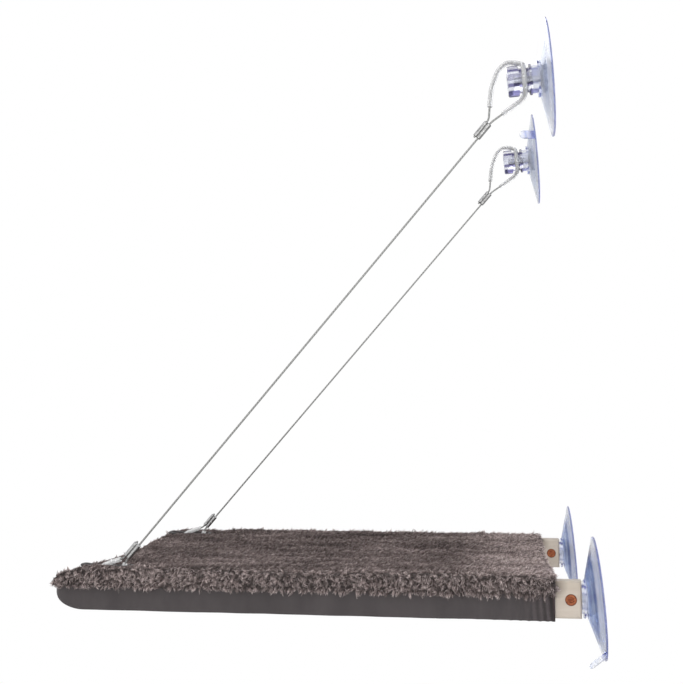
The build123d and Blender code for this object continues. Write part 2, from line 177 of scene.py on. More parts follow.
def ramp(tree, fac, *stops):
    r = node(tree, "ValToRGB", {"Fac": fac})
    e = r.color_ramp.elements
    while len(e) < len(stops):
        e.new(0.5)
    for item, (at, colour) in zip(e, stops):
        item.position = at
        item.color = (*colour, 1)
    return r.outputs["Color"]


def noise(tree, vector, scale, detail=3.0, roughness=0.55):
    sockets = {"Vector": vector, "Scale": scale, "Detail": detail, "Roughness": roughness}
    return node(tree, "TexNoise", sockets).outputs["Fac"]


def threads(tree, vector, scale, direction, **sockets):
    """Parallel bands of a weave, rib or pleats."""
    named = {key.replace("_", " "): value for key, value in sockets.items()}
    wave = node(tree, "TexWave", {"Vector": vector, "Scale": scale, **named}, bands_direction=direction)
    return wave.outputs["Fac"]


def stretched(tree, vector, scale):
    return node(tree, "Mapping", {"Vector": vector, "Scale": scale}).outputs["Vector"]


def bump(tree, height, strength, distance):
    n = node(tree, "Bump", {"Height": height, "Strength": strength, "Distance": distance})
    return n.outputs["Normal"]


def maths(tree, operation, a, b=0.5):
    return node(tree, "Math", {0: a, 1: b}, operation=operation).outputs["Value"]


def position(tree):
    return node(tree, "TexCoord").outputs["Object"]


def distance(tree, vector, point):
    return node(tree, "VectorMath", {0: vector, 1: point}, operation="DISTANCE").outputs["Value"]


def blend_colours(tree, fac, a, b, kind="MIX"):
    n = node(tree, "Mix", data_type="RGBA", blend_type=kind)
    for key, value in ((0, fac), (6, a), (7, b)):
        if isinstance(value, bpy.types.NodeSocket):
            tree.links.new(value, n.inputs[key])
        else:
            n.inputs[key].default_value = value if key == 0 else (*value, 1)
    return n.outputs[2]


def multiplied(tree, a, b):
    return blend_colours(tree, 1.0, a, b, "MULTIPLY")


def grey_ramp(tree, fac, low, high):
    """A ramp between two greys, each a place and a value."""
    return ramp(tree, fac, (low[0], (low[1],) * 3), (high[0], (high[1],) * 3))


def finish_nodes(names, material):
    """Gives CAD nodes a material."""
    for name in names:
        slots = nodes[name].material_slots
        if not slots:
            nodes[name].data.materials.append(material)
        for s in nodes[name].material_slots:
            s.link = "OBJECT"
            s.material = material


def absorb(tree, colour, density):
    """Tints what is seen through a clear piece, more where it is thick."""
    inside = node(tree, "VolumeAbsorption", {"Color": colour, "Density": density})
    tree.links.new(inside.outputs["Volume"], tree.nodes["Material Output"].inputs["Volume"])


# Clear soft vinyl of the suction cups: pale by the collar and the lip, with a streaked blue ring between
# them. The boss and collar have painted dark and bright bands, which stand in for the refraction in a
# thick clear moulding
def clear_vinyl():
    m, t, s = new_material(
        "clear_vinyl", Transmission_Weight=0.68, IOR=1.2, Base_Color=(0.9, 0.92, 0.97, 1), Roughness=0.08
    )
    p = position(t)
    t.links.new(grey_ramp(t, noise(t, p, 60), (0.3, 0.05), (0.75, 0.16)), s.inputs["Roughness"])
    # the distance from the axis of the nearest cup
    xyz = node(t, "SeparateXYZ", {"Vector": p})
    x = maths(t, "SUBTRACT", maths(t, "ABSOLUTE", xyz.outputs["X"]), CUP_X)
    upper = maths(t, "GREATER_THAN", xyz.outputs["Z"], BETWEEN_PAIRS)
    z = maths(t, "SUBTRACT", xyz.outputs["Z"], maths(t, "MULTIPLY", upper, CUP_RISE))
    away = maths(t, "SQRT", maths(t, "ADD", maths(t, "MULTIPLY", x, x), maths(t, "MULTIPLY", z, z)))
    share = maths(t, "DIVIDE", away, CUP_RADIUS)
    streak = noise(t, stretched(t, p, (16, 360, 16)), 1.0, 4, 0.65)
    core = ramp(
        t,
        streak,
        (0.36, (0.06, 0.10, 0.34)),
        (0.47, (0.16, 0.26, 0.58)),
        (0.56, (0.34, 0.46, 0.74)),
        (0.64, (0.70, 0.78, 0.92)),
    )
    core = blend_colours(t, maths(t, "MULTIPLY", upper, 0.35), core, (0.70, 0.80, 0.88))
    cone = ramp(
        t,
        streak,
        (0.36, (0.66, 0.72, 0.88)),
        (0.46, (0.86, 0.89, 0.96)),
        (0.54, (0.98, 0.98, 1.0)),
        (0.66, (0.80, 0.83, 0.93)),
    )
    # a painted dark outline round the lip and round the end of the pull tab, for the dark edge that
    # refraction gives clear vinyl
    lip = ramp(
        t,
        maths(t, "DIVIDE", away, TAB_REACH),
        (0.67, (1, 1, 1)),
        (0.70, (0.30, 0.33, 0.60)),
        (0.718, (0.30, 0.33, 0.60)),
        (0.73, (1, 1, 1)),
        (0.89, (1, 1, 1)),
        (0.91, (0.30, 0.31, 0.50)),
    )
    cone = multiplied(t, cone, lip)
    ring = ramp(t, share, (0.34, (0, 0, 0)), (0.40, (1, 1, 1)), (0.68, (1, 1, 1)), (0.76, (0, 0, 0)))
    strength = maths(t, "MULTIPLY", ring, maths(t, "SUBTRACT", 1.0, maths(t, "MULTIPLY", upper, 0.6)))
    colour = blend_colours(t, strength, cone, core)
    # painted reflection: the dark and bright bands that refraction shows in the thick collar
    bands = ramp(
        t,
        maths(t, "DIVIDE", maths(t, "ABSOLUTE", z), COLLAR_RADIUS),
        (0.30, (0.78, 0.80, 0.88)),
        (0.38, (0.42, 0.44, 0.64)),
        (0.48, (0.96, 0.97, 0.99)),
        (0.60, (0.96, 0.97, 0.99)),
        (0.67, (0.14, 0.14, 0.34)),
        (0.76, (0.18, 0.19, 0.42)),
        (0.80, (0.86, 0.88, 0.95)),
        (0.88, (0.80, 0.83, 0.93)),
        (0.93, (0.15, 0.18, 0.44)),
        (1.0, (0.22, 0.26, 0.55)),
    )
    outer = maths(t, "GREATER_THAN", maths(t, "MULTIPLY", xyz.outputs["Y"], -1.0), COLLAR_DEPTH)
    collar = maths(t, "MULTIPLY", maths(t, "LESS_THAN", share, COLLAR_SHARE), outer)
    t.links.new(blend_colours(t, collar, colour, bands), s.inputs["Base Color"])
    t.links.new(bump(t, noise(t, p, 55, 3), 0.5, 0.002), s.inputs["Normal"])
    absorb(t, (0.40, 0.47, 0.70, 1), 4.0)
    return m


# Hard clear acrylic of the knobs, with painted dark and bright bands that stand in for the refraction in
# its thick flanges
def clear_acrylic():
    m, t, s = new_material(
        "clear_acrylic",
        Transmission_Weight=0.75,
        IOR=1.25,
        Base_Color=(0.93, 0.94, 0.99, 1),
        Roughness=0.02,
    )
    p = position(t)
    t.links.new(grey_ramp(t, noise(t, p, 90), (0.35, 0.015), (0.8, 0.07)), s.inputs["Roughness"])
    t.links.new(bump(t, noise(t, p, 260, 2), 0.06, 0.0002), s.inputs["Normal"])
    xyz = node(t, "SeparateXYZ", {"Vector": p})
    height = maths(t, "ABSOLUTE", maths(t, "SUBTRACT", xyz.outputs["Z"], CUP_RISE))
    # painted reflection: the bands that refraction shows in the thick flanges
    bands = ramp(
        t,
        maths(t, "DIVIDE", height, KNOB_RADIUS),
        (0.34, (0.86, 0.88, 0.93)),
        (0.42, (0.10, 0.09, 0.22)),
        (0.56, (0.14, 0.13, 0.28)),
        (0.62, (1, 1, 1)),
        (0.74, (1, 1, 1)),
        (0.80, (0.05, 0.045, 0.14)),
        (1.0, (0.09, 0.08, 0.22)),
    )
    t.links.new(bands, s.inputs["Base Color"])
    absorb(t, (0.46, 0.47, 0.72, 1), 10.0)
    return m


# Milky clear sleeve over the wire loops
def clear_sleeve(name, clearness, tone):
    m, t, s = new_material(
        name, Transmission_Weight=clearness, IOR=1.3, Base_Color=(0.9, 0.9, 0.9, 1), Roughness=0.25
    )
    p = position(t)
    t.links.new(grey_ramp(t, noise(t, p, 240), (0.3, tone), (0.75, tone * 1.1)), s.inputs["Base Color"])
    t.links.new(grey_ramp(t, noise(t, p, 400), (0.3, 0.16), (0.8, 0.34)), s.inputs["Roughness"])
    t.links.new(bump(t, noise(t, p, 700, 2), 0.15, 0.0002), s.inputs["Normal"])
    return m


LAY, STRANDS = 0.02, 6


# Twisted steel wire rope, with painted shade in the grooves between its strands. side is the sign of x of
# its cable, whose main run is the axis of the lay
def wire_rope(side):
    m, t, s = new_material("wire_rope", Metallic=0.3, Roughness=0.55)
    low = np.array(LOOP_FOOT) * [side, 1, 1]
    high = np.array(LOOP_HEAD) * [side, 1, 1]
    z = unit(high - low)
    x = unit(np.cross([1.0, 0, 0], z))
    turn = Matrix([list(x), list(np.cross(z, x)), list(z)])
    sockets = {"Vector": position(t), "Location": turn @ -Vector(low), "Rotation": turn.to_euler()}
    at = node(t, "Mapping", sockets)
    xyz = node(t, "SeparateXYZ", {"Vector": at.outputs["Vector"]})
    angle = maths(t, "ARCTAN2", xyz.outputs["Y"], xyz.outputs["X"])
    along = maths(t, "MULTIPLY", xyz.outputs["Z"], 2 * math.pi / LAY)
    phase = maths(t, "MULTIPLY", maths(t, "ADD", angle, along), STRANDS)
    strand = maths(t, "MULTIPLY_ADD", maths(t, "SINE", phase), 0.5)
    # painted shade: darker in the grooves between the strands
    colour = ramp(t, strand, (0.1, (0.21, 0.21, 0.205)), (0.65, (0.30, 0.30, 0.29)))
    t.links.new(colour, s.inputs["Base Color"])
    t.links.new(bump(t, strand, 0.15, 0.0003), s.inputs["Normal"])
    return m


# Crimped ferrule, pressed and scratched
def crimp_metal(name, low, high):
    m, t, s = new_material(name, Metallic=1.0, Roughness=0.3)
    p = position(t)
    t.links.new(
        ramp(t, noise(t, p, 420, 4), (0.3, (low,) * 3), (0.7, (high, high, high * 0.985))),
        s.inputs["Base Color"],
    )
    t.links.new(grey_ramp(t, noise(t, p, 900), (0.3, 0.22), (0.75, 0.48)), s.inputs["Roughness"])
    t.links.new(bump(t, noise(t, p, 500, 3), 0.5, 0.0003), s.inputs["Normal"])
    return m


# Where a rail comes out of the covers, in the CAD frame
RAIL_MOUTH = (0, -0.043, 0.015)


# Pale pine of the rails, with the grain raised along y, and a painted shadow where it comes out of the
# covers
def painted_wood():
    m, t, s = new_material("painted_wood", Roughness=0.55)
    p = position(t)
    grain = noise(t, stretched(t, p, (140, 9, 140)), 1.0, 4, 0.6)
    broad = noise(t, stretched(t, p, (40, 4, 40)), 1.0, 2)
    colour = ramp(
        t, grain, (0.25, (0.47, 0.40, 0.33)), (0.6, (0.545, 0.482, 0.41)), (0.9, (0.59, 0.525, 0.45))
    )
    shade = ramp(t, broad, (0.3, (0.86, 0.84, 0.80)), (0.7, (1, 1, 1)))
    away = distance(t, stretched(t, p, (0, 1, 1)), RAIL_MOUTH)
    # painted shadow of the covers, darkest where the rail comes out of them
    painted_shadow = ramp(t, maths(t, "DIVIDE", away, 0.02), (0.2, (0.42, 0.40, 0.39)), (0.75, (1, 1, 1)))
    t.links.new(multiplied(t, multiplied(t, colour, painted_shadow), shade), s.inputs["Base Color"])
    t.links.new(grey_ramp(t, grain, (0.3, 0.42), (0.8, 0.66)), s.inputs["Roughness"])
    t.links.new(bump(t, grain, 0.35, 0.0004), s.inputs["Normal"])
    return m


# Coppery barrel nut: a stained face, with painted shade round its bore and along its rim
def copper_nut():
    m, t, s = new_material("copper_nut", Metallic=0.75, Roughness=0.45)
    p = position(t)
    stain = noise(t, p, 420, 5, 0.65)
    colour = ramp(
        t, stain, (0.3, (0.12, 0.03, 0.013)), (0.55, (0.28, 0.09, 0.038)), (0.8, (0.44, 0.175, 0.085))
    )
    away = distance(t, stretched(t, p, (0, 1, 1)), tuple(from_bed(np.array([0.0, NUT_Y, 0.0]))))
    # painted shade: darker round the bore and along the rim, where the countersink shades it
    rings = ramp(
        t,
        maths(t, "DIVIDE", away, NUT_RADIUS),
        (0.0, (0.9, 0.8, 0.75)),
        (0.5, (0.8, 0.72, 0.7)),
        (0.56, (1, 1, 1)),
        (0.70, (1, 1, 1)),
        (0.86, (0.4, 0.34, 0.32)),
    )
    t.links.new(multiplied(t, colour, rings), s.inputs["Base Color"])
    t.links.new(grey_ramp(t, stain, (0.3, 0.62), (0.8, 0.35)), s.inputs["Roughness"])
    t.links.new(bump(t, stain, 0.4, 0.0003), s.inputs["Normal"])
    return m


# Zinc plated studs and bolts
def zinc_steel():
    m, t, s = new_material("zinc_steel", Metallic=1.0, Roughness=0.35)
    p = position(t)
    t.links.new(
        ramp(t, noise(t, p, 350, 4), (0.3, (0.42, 0.43, 0.45)), (0.75, (0.66, 0.67, 0.69))),
        s.inputs["Base Color"],
    )
    t.links.new(grey_ramp(t, noise(t, p, 800), (0.3, 0.24), (0.8, 0.45)), s.inputs["Roughness"])
    turned = threads(t, p, 320.0, "Y", Distortion=0.4)
    t.links.new(bump(t, turned, 0.35, 0.0003), s.inputs["Normal"])
    return m


# Black enamelled cross tubes and their plugs
def tube_steel():
    m, t, s = new_material("tube_steel", Metallic=0.2, Roughness=0.45)
    p = position(t)
    t.links.new(
        ramp(t, noise(t, p, 260, 4), (0.3, (0.028, 0.028, 0.03)), (0.75, (0.06, 0.06, 0.062))),
        s.inputs["Base Color"],
    )
    t.links.new(grey_ramp(t, noise(t, p, 500), (0.3, 0.35), (0.8, 0.6)), s.inputs["Roughness"])
    t.links.new(bump(t, noise(t, p, 1500, 2), 0.2, 0.0002), s.inputs["Normal"])
    return m


# Where the cover's gathers begin and its rear edge starts and ends, along y in the CAD frame
GATHERS_FRONT, GATHERS_REAR, EDGE_FRONT, EDGE_REAR = -0.074, -0.046, -0.052, -0.042


# Dark grey oxford cloth of the cover: a fine plain weave, uneven in tone, with painted light and shade on
# the gathers by its rear hem
def cover_cloth():
    m, t, s = new_material("cover_cloth", Roughness=0.88, Sheen_Weight=0.15, Sheen_Roughness=0.5)
    p = position(t)
    warp, weft, across = (threads(t, p, 420.0, axis, Distortion=1.2, Detail=2.0) for axis in "YZX")
    weave = maths(t, "MULTIPLY", maths(t, "ADD", warp, weft), across)
    tone = noise(t, stretched(t, p, (1, 1, 0.45)), 42, 5, 0.6)
    colour = ramp(t, tone, (0.25, (0.039, 0.033, 0.034)), (0.75, (0.061, 0.052, 0.053)))
    shade = grey_ramp(t, weave, (0.1, 0.94), (0.9, 1))
    # painted light and shade on the gathers by the rear hem: pale stripes for lit crests and dark ones
    # between, and brown at the edge
    y = node(t, "SeparateXYZ", {"Vector": p}).outputs["Y"]
    near = node(t, "MapRange", {"Value": y, "From Min": GATHERS_FRONT, "From Max": GATHERS_REAR})
    pleats = threads(t, p, 48.0, "Y", Distortion=2.2, Detail=1.0, Detail_Scale=30.0)
    painted_gather_shade_and_edge = ramp(t, pleats, (0.1, (0.5, 0.46, 0.46)), (0.55, (1.0, 0.98, 0.98)), (0.9, (1.5, 1.42, 1.42)))
    rear = node(t, "MapRange", {"Value": y, "From Min": EDGE_FRONT, "From Max": EDGE_REAR})
    edge = ramp(t, rear.outputs["Result"], (0.45, (1, 1, 1)), (0.75, (0.55, 0.42, 0.40)))
    painted_gather_shade_and_edge = blend_colours(t, near.outputs["Result"], (1.0, 1.0, 1.0), multiplied(t, painted_gather_shade_and_edge, edge))
    t.links.new(multiplied(t, multiplied(t, colour, painted_gather_shade_and_edge), shade), s.inputs["Base Color"])
    t.links.new(bump(t, weave, 0.1, 0.0003), s.inputs["Normal"])
    return m


# Backing of the plush, mostly hidden by the pile
def plush_backing():
    m, t, s = new_material("plush_backing", Roughness=0.95)
    p = position(t)
    tone = noise(t, p, 180, 4, 0.7)
    colour = ramp(t, tone, (0.3, (0.030, 0.023, 0.022)), (0.7, (0.075, 0.059, 0.056)))
    t.links.new(colour, s.inputs["Base Color"])
    t.links.new(bump(t, noise(t, p, 900, 3), 0.8, 0.0008), s.inputs["Normal"])
    return m


# The pile: dark at the root, partly its own colour and partly painted shade deep in the pile, light at
# the tip, each tuft a little different
def plush_pile():
    m, t, s = new_material("plush_pile", Roughness=0.8, Sheen_Weight=0.35, Sheen_Roughness=0.4)
    s.inputs["Sheen Tint"].default_value = (0.9, 0.82, 0.8, 1)
    shade = node(t, "Attribute", attribute_name="shade").outputs["Fac"]
    tint = noise(t, position(t), 26, 4, 0.6)
    colour = ramp(
        t,
        shade,
        (0.0, (0.022, 0.016, 0.015)),
        (0.35, (0.115, 0.088, 0.083)),
        (0.7, (0.36, 0.288, 0.275)),
        (1.0, (0.98, 0.85, 0.82)),
    )
    patches = ramp(t, tint, (0.3, (0.82, 0.8, 0.8)), (0.7, (1, 1, 1)))
    t.links.new(multiplied(t, colour, patches), s.inputs["Base Color"])
    t.links.new(grey_ramp(t, shade, (0.0, 0.95), (1.0, 0.65)), s.inputs["Roughness"])
    return m


vinyl, acrylic = clear_vinyl(), clear_acrylic()
finish_nodes(["upper_cup_left", "upper_cup_right", "lower_cup_left", "lower_cup_right"], vinyl)
finish_nodes(["cable_knob_left", "cable_knob_right"], acrylic)
finish_nodes(["upper_sleeve_left", "upper_sleeve_right"], clear_sleeve("clear_sleeve", 0.62, 0.76))
# the lower sleeves are a whiter, less clear copy of the same sleeve: painted light
finish_nodes(["lower_sleeve_left", "lower_sleeve_right"], clear_sleeve("lit_sleeve_copy", 0.4, 0.88))
finish_nodes(["upper_ferrule_left", "upper_ferrule_right"], crimp_metal("crimp_metal", 0.13, 0.34))
# the lower ferrules are a lighter copy of the same steel: painted light
finish_nodes(["lower_ferrule_left", "lower_ferrule_right"], crimp_metal("lit_crimp_copy", 0.32, 0.62))
finish_nodes([n for n in nodes if "rail" in n], painted_wood())
finish_nodes([n for n in nodes if "nut" in n], copper_nut())
finish_nodes([n for n in nodes if "stud" in n] + ["frame_bolts"], zinc_steel())
finish_nodes(["front_tube", "rear_tube", "tube_plugs"], tube_steel())
finish_nodes(["cable_left"], wire_rope(-1))
finish_nodes(["cable_right"], wire_rope(1))


# The cable knobs: the CAD's turned spools, with grip flutes along both flanges. The profile is radii and
# depths from the glass, in millimetres
KNOB = [
    (0.0032, 17.2), (10, 17.0), (13.6, 17.0), (14.6, 17.3), (15.0, 18.0), (15.0, 19.2), (14.7, 19.8),
    (13.6, 20.2), (12.3, 20.5), (12.0, 21.5), (12.0, 25.0), (12.0, 28.5), (12.3, 29.6), (13.6, 29.9),
    (14.6, 30.2), (15.0, 31.0), (15.0, 34.0), (15.0, 39.0), (14.7, 40.2), (13.8, 40.9), (12.0, 41.0),
    (9.2, 41.0), (8.6, 40.8), (8.4, 40.0), (8.2, 39.6), (3.2, 39.5), (0.5, 39.5),
]
KNOB_STEPS, FLUTES, FLUTE_DEPTH_SHARE = 168, 14, 0.03
GRIP_RADIUS, GRIP_RUN, GRIP_NEAR, GRIP_FAR, FACE_SHARE = 12.6, 2.0, 17.2, 40.8, 0.7


def make_knob(side, sign):
    """A knob whose flutes are deepest at its flanges' edges and shallower on its end faces."""
    turn = np.linspace(0, 2 * np.pi, KNOB_STEPS, endpoint=False)
    verts = []
    for r, depth in KNOB:
        share = ease((r - GRIP_RADIUS) / GRIP_RUN)
        share *= 1.0 if GRIP_NEAR < depth < GRIP_FAR else FACE_SHARE
        wave = (0.5 - 0.5 * np.cos(FLUTES * turn)) ** 4
        reach = r * (1 - FLUTE_DEPTH_SHARE * share * wave) / 1000
        x, z = sign * CUP_X + reach * np.cos(turn), CUP_RISE + reach * np.sin(turn)
        verts.append(np.stack([x, np.full(KNOB_STEPS, -depth / 1000), z], 1))
    rings, steps = len(verts), KNOB_STEPS
    faces = []
    for i in range(rings - 1):
        for k in range(steps):
            m = (k + 1) % steps
            faces.append((i * steps + k, i * steps + m, (i + 1) * steps + m, (i + 1) * steps + k))
    faces.append(tuple(range(steps)))
    faces.append(tuple((rings - 1) * steps + k for k in reversed(range(steps))))
    mesh = bpy.data.meshes.new(f"knob_{side}")
    mesh.from_pydata(np.concatenate(verts).tolist(), [], faces)
    bm = bmesh.new()
    bm.from_mesh(mesh)
    bmesh.ops.recalc_face_normals(bm, faces=bm.faces)
    bm.to_mesh(mesh)
    bm.free()
    smooth_shade(mesh)
    mesh.materials.append(acrylic)
    o = new_object(f"knob_{side}", mesh)
    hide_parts(f"cable_knob_{side}")
    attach(o, f"top_cup_{side}")


make_knob("left", -1)
make_knob("right", 1)


# Both covers are the CAD's shells, cut into fine grids that can bend
def cut(bm, axis, stations):
    normal = Vector(BED_AXES[axis])
    for c in stations:
        point = np.zeros(3)
        point[axis] = c
        bmesh.ops.bisect_plane(
            bm,
            geom=bm.verts[:] + bm.edges[:] + bm.faces[:],
            plane_co=Vector(from_bed(point)),
            plane_no=normal,
            dist=2e-6,
        )


def gridded_copy(node, name, grid):
    """A welded copy cut along bed planes. grid is rows of axis, first plane, end and spacing."""
    o = welded_copy(node, name)
    bm = bmesh.new()
    bm.from_mesh(o.data)
    for axis, first, end, spacing in grid:
        cut(bm, axis, np.arange(first, end, spacing))
    bmesh.ops.triangulate(bm, faces=bm.faces[:])
    bm.to_mesh(o.data)
    bm.free()
    return o


def dress(o, material):
    smooth_shade(o.data)
    o.data.materials.clear()
    o.data.materials.append(material)


# Cloth cover: creased along its walls, and gathered by its rear hem
COVER_REAR = -0.0275
COVER_GRID = [
    (0, -0.176, 0.177, 0.011),
    (2, -0.018, 0.019, 0.003),
    (1, -0.518, -0.09, 0.0045),
    (1, -0.09, COVER_REAR, 0.0014),
]
# Where the creases of the side walls, the front wall, the part under the plush's rim and the lower edge
# begin, and the lengths over which they grow, in bed coordinates
SIDE_START, SIDE_RUN = 0.172, 0.008
FRONT_START, FRONT_RUN = -0.508, 0.012
LOW_START, LOW_RUN = 0.016, 0.01
EDGE_START, EDGE_RUN = -0.012, 0.005
GATHERS, GATHER_HEIGHT, GATHER_FADE = 11, 0.0034, 5.5


def make_cover():
    o = gridded_copy("base_cover", "cloth_cover", COVER_GRID)
    p = to_bed(coords(o.data))
    x, y, z = p.T
    side = ease((np.abs(x) - SIDE_START) / SIDE_RUN)
    front = ease((FRONT_START - y) / FRONT_RUN)
    low = ease((LOW_START - z) / LOW_RUN)
    # gathers by the rear hem
    rng = np.random.default_rng(4)
    gathers = np.zeros(len(p))
    at = COVER_REAR - 0.0015
    for i in range(GATHERS):
        width = rng.uniform(0.0011, 0.0021)
        lean = rng.uniform(-0.09, 0.09)
        height = rng.uniform(0.6, 1.0) * GATHER_HEIGHT * math.exp(-i / GATHER_FADE)
        mine = np.where(x > 0, 1.0, rng.uniform(0.6, 1.1))
        shift = np.where(x > 0, 0.0, rng.uniform(-0.002, 0.002))
        gathers += mine * height * np.exp(-(((y - at - shift - lean * (z + 0.02)) / width) ** 2))
        at -= rng.uniform(0.0042, 0.0075) * (1 + i * 0.22)
    soft = 0.0006 * (1 + waves(p * [0.2, 1, 0.7], 0.06, 11)) / 2
    fine = 0.00035 * (1 + waves(p * [0.2, 1, 0.35], 0.017, 12)) / 2
    out = low * (gathers + soft + fine)
    p[:, 0] += np.sign(x) * side * out
    p[:, 1] -= front * low * (soft + fine) * 1.5
    # the lower edge is not quite straight
    under = ease((EDGE_START - z) / EDGE_RUN)
    p[:, 2] -= under * 0.0005 * (1 + waves(p * [1, 1, 0], 0.05, 13)) / 2
    p[:, 2] -= slack(p)
    set_coords(o.data, from_bed(p))
    dress(o, cover_cloth())
    return o


def loop_strip(name, path, outward_of, profile):
    """A strip swept round a closed path of bed points; profile is (out, up) offsets at each station."""
    count, rings = len(path), profile.shape[1]
    up = np.array([0, 0, 1.0])
    points = path[:, None, :] + outward_of[:, None, :] * profile[:, :, :1] + up * profile[:, :, 1:]
    verts = from_bed(points.reshape(-1, 3))
    faces = []
    for i in range(count):
        j = (i + 1) % count
        for k in range(rings):
            m = (k + 1) % rings
            faces.append((i * rings + k, j * rings + k, j * rings + m, i * rings + m))
    mesh = bpy.data.meshes.new(name)
    mesh.from_pydata(verts.tolist(), [], faces)
    smooth_shade(mesh)
    return new_object(name, mesh)


# The plush's top: a circle's arc across the bed, and an ellipse's down its blunt front end
SAG_HALF, SAG_DEPTH, PLUSH_TOP = 0.1645, 0.007, 0.0218
NOSE_REAR, NOSE_DEPTH, NOSE_TIP = -0.4865, 0.0416, 0.0035
SLOT_FRONT, SLOT_REAR, SLOT_X, SLOT_HALF, SLOT_CORNER = -0.502, -0.4525, 0.1525, 0.005, 0.003


def plush_top(x, y):
    radius = (SAG_HALF**2 + SAG_DEPTH**2) / (2 * SAG_DEPTH)
    dip = np.sqrt(np.maximum(radius**2 - x**2, 0)) - (radius - SAG_DEPTH)
    back = np.clip((NOSE_REAR - y) / NOSE_DEPTH, 0, 1)
    nose = NOSE_TIP + (PLUSH_TOP - NOSE_TIP) * np.sqrt(1 - back**2)
    return np.minimum(PLUSH_TOP - np.where(np.abs(x) < SAG_HALF, dip, 0), nose)


def slot_outline(sign, steps=6, gap=0.0016):
    """Points round a slot, with the directions away from it."""
    c, h = SLOT_CORNER, SLOT_HALF
    corners = [
        (h - c, SLOT_FRONT + c, -90),
        (h - c, SLOT_REAR - c, 0),
        (c - h, SLOT_REAR - c, 90),
        (c - h, SLOT_FRONT + c, 180),
    ]
    points, outs = [], []
    for i, (x, y, first) in enumerate(corners):
        for a in np.radians(np.linspace(first, first + 90, steps + 1)):
            points.append((x + c * math.cos(a), y + c * math.sin(a)))
            outs.append((math.cos(a), math.sin(a)))
        nx, ny, _ = corners[(i + 1) % 4]
        a = math.radians(first + 90)
        start, end = np.array(points[-1]), np.array([nx + c * math.cos(a), ny + c * math.sin(a)])
        count = int(np.linalg.norm(end - start) / gap)
        for j in range(1, count):
            points.append(tuple(start + (end - start) * j / count))
            outs.append(outs[-1])
    points, outs = np.array(points), np.array(outs)
    points[:, 0] += sign * SLOT_X
    flat = np.zeros(len(points))
    return np.column_stack([points, plush_top(*points.T)]), np.column_stack([outs, flat])


def binding_cloth():
    m, t, s = new_material("binding_cloth", Roughness=0.8, Sheen_Weight=0.2, Sheen_Roughness=0.5)
    p = position(t)
    rib = threads(t, p, 520.0, "Y", Distortion=0.8)
    tone = noise(t, p, 120, 4, 0.6)
    colour = ramp(t, tone, (0.25, (0.030, 0.026, 0.026)), (0.75, (0.062, 0.054, 0.054)))
    shade = grey_ramp(t, rib, (0.1, 0.7), (0.9, 1))
    t.links.new(multiplied(t, colour, shade), s.inputs["Base Color"])
    t.links.new(bump(t, rib, 0.4, 0.0003), s.inputs["Normal"])
    return m


BINDING = binding_cloth()
# Out from the slot's edge and up from the plush, in millimetres
BINDING_PROFILE = [
    (-0.2, -7.0), (-0.5, -1.6), (-0.3, -0.5), (0.4, 0.1), (1.4, 0.15), (2.5, -0.3), (3.1, -1.2),
    (3.0, -2.4), (1.2, -1.6), (0.5, -7.0),
]


def make_binding(side, sign):
    path, outs = slot_outline(sign)
    base = np.array(BINDING_PROFILE) / 1000
    profile = np.repeat(base[None], len(path), 0)
    # puckered along its length, and its front end stands up as a small lip
    ripple = 1 + 0.14 * waves(path, 0.006, 71)
    lip = np.exp(-(((path[:, 1] - SLOT_FRONT) / 0.0055) ** 2))
    upper = base[:, 1] > -0.004
    profile[:, :, 0] *= ripple[:, None]
    profile[:, upper, 1] += (0.0017 * lip + 0.00035 * waves(path, 0.009, 72))[:, None]
    o = loop_strip(f"slot_binding_{side}", path, outs, profile)
    o.data.materials.append(BINDING)
    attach(o, "perch")
    return o


# A stitch's stations: place along it, and width and height over its half width
STITCH = ((-0.5, 0.3, -0.2), (-0.3, 1.0, 0.6), (0.0, 1.0, 0.9), (0.3, 1.0, 0.6), (0.5, 0.3, -0.2))


def stitches(name, lines, pitch=0.0042, long=0.0030, wide=0.0005, sunk=0.0002):
    """Rows of small raised stitches under straight lines of bed points."""
    verts, faces = [], []
    off = np.array([0, 0, -1.0])
    for a, b in lines:
        a, b = np.array(a, float), np.array(b, float)
        along = unit(b - a)
        across = np.cross(along, off)
        for d in np.arange(pitch / 2, np.linalg.norm(b - a) - pitch / 2, pitch):
            c = a + along * d
            for t, w, h in STITCH:
                centre = c + along * (t * long)
                verts += [
                    centre - across * w * wide - off * sunk,
                    centre - across * w * wide * 0.6 + off * h * wide,
                    centre + across * w * wide * 0.6 + off * h * wide,
                    centre + across * w * wide - off * sunk,
                ]
            first = len(verts) - 20
            for i in range(4):
                for k in range(3):
                    v = first + i * 4 + k
                    faces.append((v, v + 1, v + 5, v + 4))
    mesh = bpy.data.meshes.new(name)
    mesh.from_pydata(from_bed(np.array(verts)).tolist(), [], faces)
    smooth_shade(mesh)
    o = new_object(name, mesh)
    m, t, s = new_material(name + "_thread", Roughness=0.6)
    p = position(t)
    colour = ramp(t, noise(t, p, 900, 3), (0.3, (0.07, 0.062, 0.062)), (0.75, (0.15, 0.135, 0.133)))
    t.links.new(colour, s.inputs["Base Color"])
    t.links.new(bump(t, noise(t, p, 2500, 2), 0.4, 0.0002), s.inputs["Normal"])
    o.data.materials.append(m)
    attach(o, "perch")
    return o


cover = make_cover()
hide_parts("base_cover")
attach(cover, "perch")
bindings = [make_binding(side, sign) for side, sign in (("left", -1), ("right", 1))]
HEM_X, HEM_FRONT, HEM_REAR, HEM_Z = 0.1545, -0.4955, -0.031, -0.0194
hem = stitches(
    "hem_stitches",
    [
        ((HEM_X, HEM_FRONT, HEM_Z), (HEM_X, HEM_REAR, HEM_Z)),
        ((-HEM_X, HEM_FRONT, HEM_Z), (-HEM_X, HEM_REAR, HEM_Z)),
        ((-HEM_X, HEM_FRONT, HEM_Z), (HEM_X, HEM_FRONT, HEM_Z)),
    ],
)


